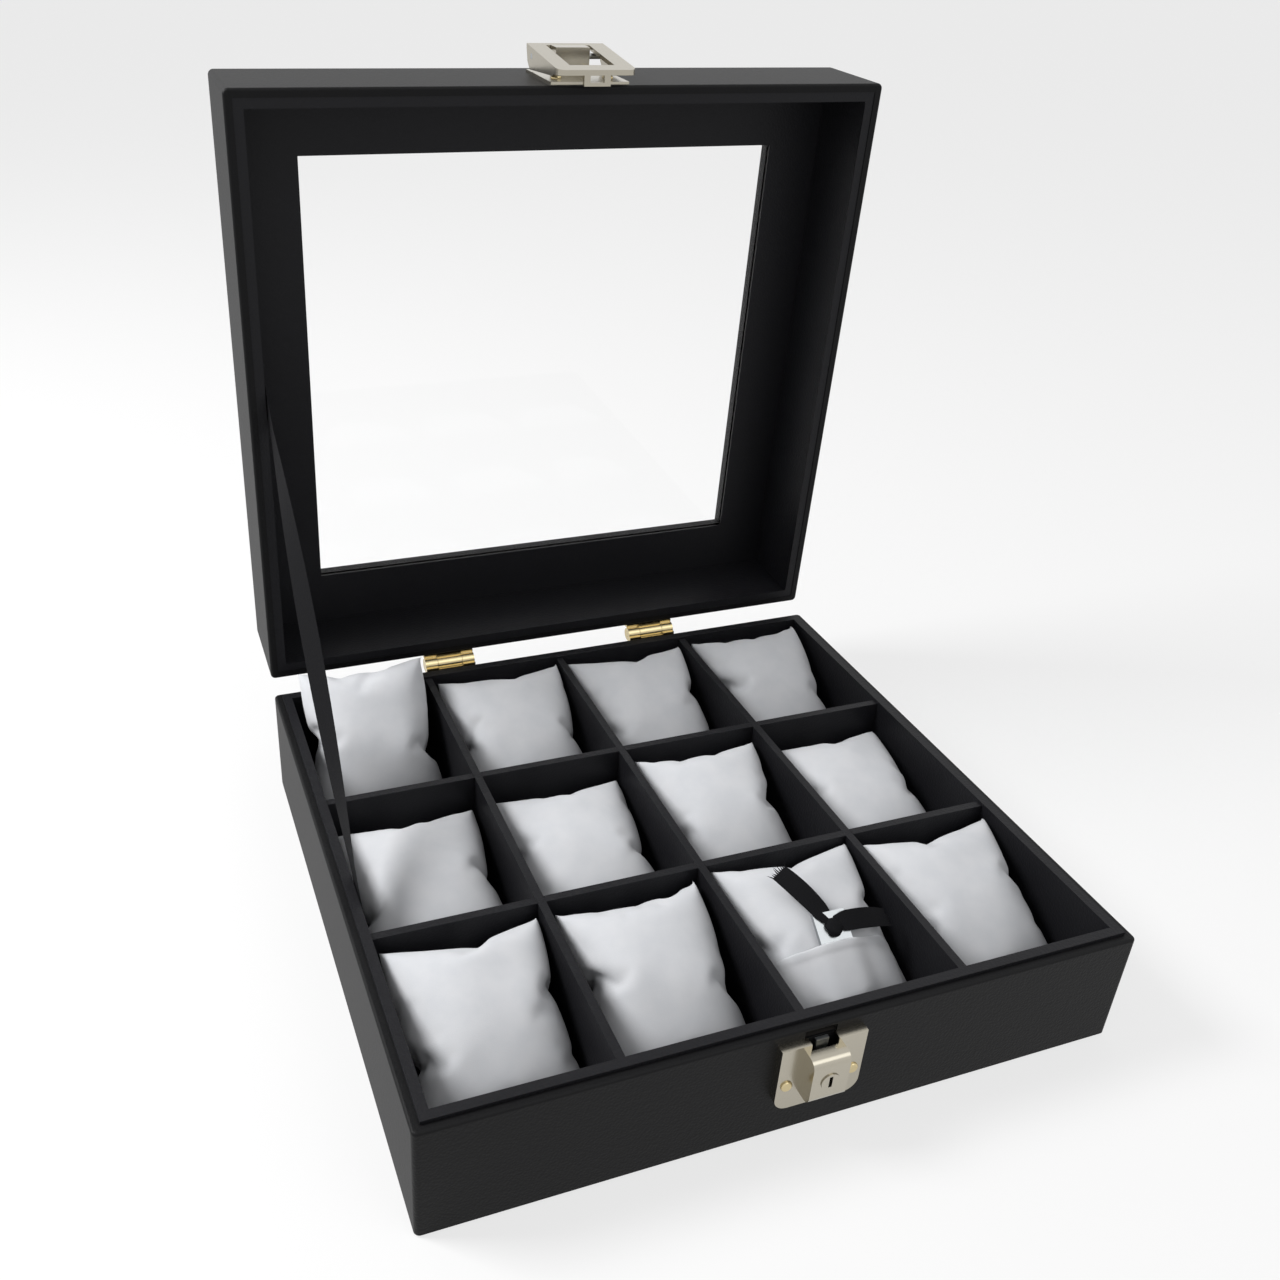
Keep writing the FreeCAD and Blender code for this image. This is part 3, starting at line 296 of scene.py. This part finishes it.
POCKET_HALF_WIDTH = 23.5 * MM
POCKET_BOTTOM = -31 * MM
POCKET_MOUTH = -3.0 * MM
POCKET_THICKNESS = 0.7 * MM
POCKET_COLUMNS = 36
POCKET_ROWS = 26
SEWN_GAP = 0.5 * MM
HEM_DEPTH = 3.0 * MM
HEM_RISE = 0.35 * MM
KEY_START = -3.5 * MM
KEY_RISE = 17.09 * MM
KEY_SLOPE = math.tan(math.radians(11.12))
KEY_COVER = 2.1 * MM
KEY_REACH = 9 * MM
KEY_FALL_OFF = 4
BLADE_END = -20 * MM
RAY_START = 1.0
DOWN = Vector((0, 0, -1))
carrier = BVHTree.FromPolygons(*pillow_points[POCKET_PILLOW])
pocket_place = pillow_places[POCKET_PILLOW]


def pillow_height(x, y):
    """Height of the pocket pillow's top face in its own frame."""
    hit = carrier.ray_cast(Vector((x, y, RAY_START)), DOWN)[0]
    return hit.z if hit else 0.0


def key_height(y):
    """Height that clears the key's upper face, in the pillow's frame."""
    return KEY_RISE + KEY_SLOPE * (y - KEY_START) + KEY_COVER


pocket_points = []
for row in range(POCKET_ROWS + 1):
    for column in range(POCKET_COLUMNS + 1):
        u, v = 2 * column / POCKET_COLUMNS - 1, row / POCKET_ROWS
        x = POCKET_HALF_WIDTH * u
        y = POCKET_BOTTOM + (POCKET_MOUTH - POCKET_BOTTOM) * v
        rest = pillow_height(x, y) + SEWN_GAP
        over_key = math.exp(-(x / KEY_REACH) ** KEY_FALL_OFF) * smooth_step(POCKET_BOTTOM, BLADE_END, y)
        hem = HEM_RISE if POCKET_MOUTH - y < HEM_DEPTH else 0.0
        z = rest + max(0.0, key_height(y) - rest) * over_key + hem
        pocket_points.append(pocket_place @ Vector((x, y, z)))
pocket_faces = grid_faces(POCKET_ROWS, POCKET_COLUMNS)
pocket = mesh_piece("pocket_cloth", pocket_points, pocket_faces, "pillow_cloth", POCKET_PILLOW)
thickness = pocket.modifiers.new("cloth thickness", "SOLIDIFY")
thickness.thickness = POCKET_THICKNESS
pocket.modifiers.new("smooth", "SUBSURF").render_levels = 1
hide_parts("pillow_pocket")


def strip(centres, widths, acrosses):
    """Points and faces of a ribbon, from its centre line and its width and the width's direction along it."""
    points = []
    for centre, width, across in zip(centres, widths, acrosses):
        half = across.normalized() * width / 2
        points += [centre - half, centre, centre + half]
    return points, grid_faces(len(centres) - 1, 2)


# Stay ribbon: taut between the base's side and the lid's, and twisted towards the front between them

STAY_WIDTH = 10 * MM
STAY_STEPS = 60
STAY_TWIST = math.radians(32)
STAY_FREE = (0.10, 0.80)
STAY_STEEPNESS = math.radians(45)
stay_low, stay_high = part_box("stay_ribbon")
stay_x = (stay_low.x + stay_high.x) / 2
stay_inset = STAY_WIDTH / 2 * math.cos(STAY_STEEPNESS)
stay_start = Vector((stay_x, stay_low.y + stay_inset, stay_low.z + stay_inset))
stay_end = Vector((stay_x, stay_high.y - stay_inset, stay_high.z - stay_inset))
along = (stay_end - stay_start).normalized()
flat_across = along.cross(Vector((1, 0, 0)))
centres, acrosses = [], []
for step in range(STAY_STEPS + 1):
    t = step / STAY_STEPS
    free = min(1.0, max(0.0, (t - STAY_FREE[0]) / (STAY_FREE[1] - STAY_FREE[0])))
    twist = STAY_TWIST * math.sin(math.pi * free)
    centres.append(stay_start.lerp(stay_end, t))
    acrosses.append(Matrix.Rotation(twist, 3, along) @ flat_across)
points, faces = strip(centres, [STAY_WIDTH] * len(centres), acrosses)
stay = mesh_piece("stay_ribbon_cloth", points, faces, "ribbon")
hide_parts("stay_ribbon")
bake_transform(stay)

# Key ribbon: one ribbon knotted through the key's eye, with two tails that stand off the pillow

KEY_RIBBON_WIDTH = 7 * MM
EYE_WIDTH = 4.5 * MM
EYE_Y = 2.9 * MM
EYE_DROP = 0.4 * MM
TAIL_STEPS = 16
TAIL_ARCH = 0.75 * math.pi
DROOP_POWER = 2.5
WIDENED_AT = 0.25
CURL = 0.25
CURL_RATE = 4
THREADS = 9
THREAD_WIDTH = 0.6 * MM
THREAD_LENGTH = 0.7
THREAD_LENGTH_CHANGE = 0.3
THREAD_LENGTH_RATE = 5.1
THREAD_SPREAD = 0.5
THREAD_LIFT = 0.3
THREAD_LIFT_RATE = 3.7
UPRIGHT = Vector((0, 0, 1))
eye = Vector((0, EYE_Y, key_height(EYE_Y) - EYE_DROP))


def tail(angle, length, lift, drop, fray):
    """Points and faces of a tail from the key's eye that rises by lift, droops by drop and ends in threads."""
    heading = Vector((math.cos(angle), math.sin(angle), 0))
    across = UPRIGHT.cross(heading)
    centres, widths, turned = [], [], []
    for step in range(TAIL_STEPS + 1):
        share = step / TAIL_STEPS
        height = lift * math.sin(TAIL_ARCH * share) - drop * share ** DROOP_POWER
        centres.append(eye + heading * (length * share) + UPRIGHT * height)
        widths.append(EYE_WIDTH + (KEY_RIBBON_WIDTH - EYE_WIDTH) * smooth_step(0.0, WIDENED_AT, share))
        turned.append(across + UPRIGHT * (CURL * math.sin(CURL_RATE * share + angle)))
    points, faces = strip(centres, widths, turned)
    end, side = centres[-1], turned[-1].normalized()
    for thread in range(THREADS):
        spread = 2 * thread / (THREADS - 1) - 1
        root = end + side * (spread * (KEY_RIBBON_WIDTH - THREAD_WIDTH) / 2)
        reach = fray * (THREAD_LENGTH + THREAD_LENGTH_CHANGE * math.sin(THREAD_LENGTH_RATE * thread))
        rise = UPRIGHT * (THREAD_LIFT * math.cos(THREAD_LIFT_RATE * thread))
        tip = root + (heading + side * (THREAD_SPREAD * spread) + rise) * reach
        first = len(points)
        points += [root - side * THREAD_WIDTH / 2, root + side * THREAD_WIDTH / 2, tip]
        faces.append((first, first + 1, first + 2))
    return points, faces


LEFT_TAIL = {"angle": math.radians(118), "length": 24 * MM, "lift": 1.5 * MM, "drop": 1 * MM,
             "fray": 3.0 * MM}
RIGHT_TAIL = {"angle": math.radians(-4), "length": 22 * MM, "lift": 1.5 * MM, "drop": 4 * MM,
              "fray": 1.0 * MM}
ribbon_points, ribbon_faces = tail(**LEFT_TAIL)
more_points, more_faces = tail(**RIGHT_TAIL)
ribbon_faces += [[corner + len(ribbon_points) for corner in face] for face in more_faces]
ribbon_points = [pocket_place @ p for p in ribbon_points + more_points]
key_ribbon = mesh_piece("key_ribbon_cloth", ribbon_points, ribbon_faces, "ribbon", "key")
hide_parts("key_ribbon_left", "key_ribbon_right")

# The ribbon's knot: a small ball drawn out along the key, with swirled folds

KNOT_SIZE = Vector((2.8 * MM, 3.4 * MM, 1.5 * MM))
KNOT_DROP = 1.5 * MM
KNOT_RINGS = 10
KNOT_SIDES = 20
KNOT_FOLD_DEPTH = 0.16
KNOT_FOLDS = 3
KNOT_SWIRL = 4
knot_points, knot_faces = [], []
for ring in range(KNOT_RINGS + 1):
    for side in range(KNOT_SIDES):
        down, turn = math.pi * ring / KNOT_RINGS, 2 * math.pi * side / KNOT_SIDES
        fold = 1 + KNOT_FOLD_DEPTH * math.sin(KNOT_FOLDS * turn + KNOT_SWIRL * down)
        knot_points.append(eye + Vector((KNOT_SIZE.x * math.sin(down) * math.cos(turn) * fold,
                                         KNOT_SIZE.y * math.cos(down) - KNOT_DROP,
                                         KNOT_SIZE.z * math.sin(down) * math.sin(turn) * fold)))
for ring in range(KNOT_RINGS):
    for side in range(KNOT_SIDES):
        first, after = ring * KNOT_SIDES + side, ring * KNOT_SIDES + (side + 1) % KNOT_SIDES
        knot_faces.append((first, first + KNOT_SIDES, after + KNOT_SIDES, after))
knot_points = [pocket_place @ p for p in knot_points]
knot = mesh_piece("key_ribbon_knot", knot_points, knot_faces, "ribbon", "key")


# Floor, light and camera

def seen_directly(tree):
    """A value that is 1 for rays from the camera, a reflection or glass, and 0 for the light on surfaces."""
    path = tree.nodes.new("ShaderNodeLightPath")
    seen = path.outputs["Is Camera Ray"]
    for ray in ("Is Glossy Ray", "Is Transmission Ray"):
        both = tree.nodes.new("ShaderNodeMath")
        both.operation = "MAXIMUM"
        tree.links.new(seen, both.inputs[0])
        tree.links.new(path.outputs[ray], both.inputs[1])
        seen = both.outputs[0]
    return seen


def ranged(tree, value, low, high):
    """Spread a value from 0 to 1 over low to high."""
    spread = tree.nodes.new("ShaderNodeMapRange")
    spread.inputs["To Min"].default_value = low
    spread.inputs["To Max"].default_value = high
    tree.links.new(value, spread.inputs["Value"])
    return spread.outputs["Result"]


FLOOR_SIZE = 60
FLOOR_WHITE = 0.7
floor = material("floor", (0.86, 0.86, 0.86), 0.9)
tree = floor.node_tree
glow = tree.nodes.new("ShaderNodeEmission")
mixed = tree.nodes.new("ShaderNodeMixShader")
tree.links.new(ranged(tree, seen_directly(tree), 0.0, FLOOR_WHITE), mixed.inputs["Fac"])
tree.links.new(tree.nodes["Principled BSDF"].outputs["BSDF"], mixed.inputs[1])
tree.links.new(glow.outputs["Emission"], mixed.inputs[2])
tree.links.new(mixed.outputs["Shader"], tree.nodes["Material Output"].inputs["Surface"])
bpy.ops.mesh.primitive_plane_add(size=FLOOR_SIZE)
ground = bpy.context.object
ground.name = "ground"
ground.data.materials.append(floor)

AMBIENT = 0.42
world = bpy.data.worlds.new("studio")
scene.world = world
world.use_nodes = True
tree = world.node_tree
background = tree.nodes["Background"]
background.inputs["Color"].default_value = (1, 1, 1, 1)
tree.links.new(ranged(tree, seen_directly(tree), AMBIENT, 1.0), background.inputs["Strength"])

BOX_MIDDLE = Vector((0, 0, 0.05))
KEY_LIGHT = {"place": Vector((-0.80, 0.30, 0.90)), "size": 0.4, "power": 13.0}
FRONT_FILL = {"place": Vector((0.5, -1.0, 1.3)), "size": 1.0, "power": 4.0}


def area_light(name, place, size, power):
    """A soft square lamp in watts, aimed at the box."""
    lamp = bpy.data.lights.new(name, "AREA")
    lamp.energy = power
    lamp.size = size
    holder = bpy.data.objects.new(name, lamp)
    holder.location = place
    holder.rotation_euler = (BOX_MIDDLE - place).to_track_quat("-Z", "Y").to_euler()
    scene.collection.objects.link(holder)


area_light("key light", **KEY_LIGHT)
area_light("front fill", **FRONT_FILL)

CAMERA_AZIMUTH = math.radians(-21.51)
CAMERA_ELEVATION = math.radians(30.24)
CAMERA_ROLL = math.radians(2.63)
CAMERA_TARGET = Vector((0.03795, 0.20007, 0.0))
CAMERA_DISTANCE = 0.68106
SENSOR_WIDTH = 36
FOCAL_LENGTH = 36.16
LENS_SHIFT = (0.0585, -0.0038)
NEAREST_SEEN = 10 * MM
back = Vector((math.sin(CAMERA_AZIMUTH) * math.cos(CAMERA_ELEVATION),
               -math.cos(CAMERA_AZIMUTH) * math.cos(CAMERA_ELEVATION),
               math.sin(CAMERA_ELEVATION)))
level_right = Vector((math.cos(CAMERA_AZIMUTH), math.sin(CAMERA_AZIMUTH), 0))
level_up = back.cross(level_right)
right = level_right * math.cos(CAMERA_ROLL) + level_up * math.sin(CAMERA_ROLL)
up = level_up * math.cos(CAMERA_ROLL) - level_right * math.sin(CAMERA_ROLL)
lens = bpy.data.cameras.new("camera")
lens.sensor_width = SENSOR_WIDTH
lens.lens = FOCAL_LENGTH
lens.shift_x, lens.shift_y = LENS_SHIFT
lens.clip_start = NEAREST_SEEN
camera = bpy.data.objects.new("camera", lens)
camera_turn = Matrix((right, up, back)).transposed().to_4x4()
camera.matrix_world = Matrix.Translation(CAMERA_TARGET + back * CAMERA_DISTANCE) @ camera_turn
scene.collection.objects.link(camera)
scene.camera = camera
